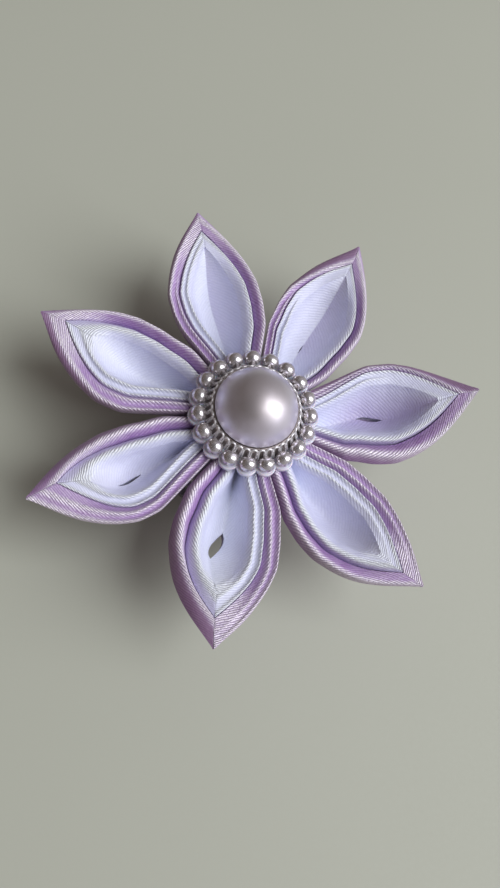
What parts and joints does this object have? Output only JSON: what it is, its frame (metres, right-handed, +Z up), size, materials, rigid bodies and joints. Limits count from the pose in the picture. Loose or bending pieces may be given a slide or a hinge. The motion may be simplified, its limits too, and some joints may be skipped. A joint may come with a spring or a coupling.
{
  "type": "kanzashi flower hair clip",
  "caption": "Folded satin ribbon flower with pointed double petals round a beaded cabochon and half pearl, backed by a felt disc on a flat hair clip.",
  "frame": {"origin": "on the underside of the clip, under the flower's axis", "axes": "+Z up along the flower's axis, out of its face; +X along the clip towards its nose; +Y to the left of the clip as seen from its tail"},
  "size_m": [0.0725, 0.0753, 0.0269],
  "materials": {
    "outer_ribbon": "lilac satin ribbon with a fine diagonal weave on its folds",
    "inner_ribbon": "white satin ribbon with a cool lavender shade and a fine weave",
    "moulded_ring": "moulded acrylic with a pearly silver coat, milky at its scalloped edge",
    "pearl": "nacre coat with a pink and lilac lustre",
    "felt": "white pressed felt",
    "clip_steel": "plain nickel-plated spring steel"
  },
  "bodies": {
    "root": {"outer_petal_1": "outer_ribbon", "outer_petal_2": "outer_ribbon", "outer_petal_3": "outer_ribbon", "outer_petal_4": "outer_ribbon", "outer_petal_5": "outer_ribbon", "outer_petal_6": "outer_ribbon", "outer_petal_7": "outer_ribbon", "inner_petal_1": "inner_ribbon", "inner_petal_2": "inner_ribbon", "inner_petal_3": "inner_ribbon", "inner_petal_4": "inner_ribbon", "inner_petal_5": "inner_ribbon", "inner_petal_6": "inner_ribbon", "inner_petal_7": "inner_ribbon", "bead_ring": "moulded_ring", "pearl": "pearl", "felt_disc": "felt", "hair_clip": "clip_steel"}
  },
  "joints": []
}
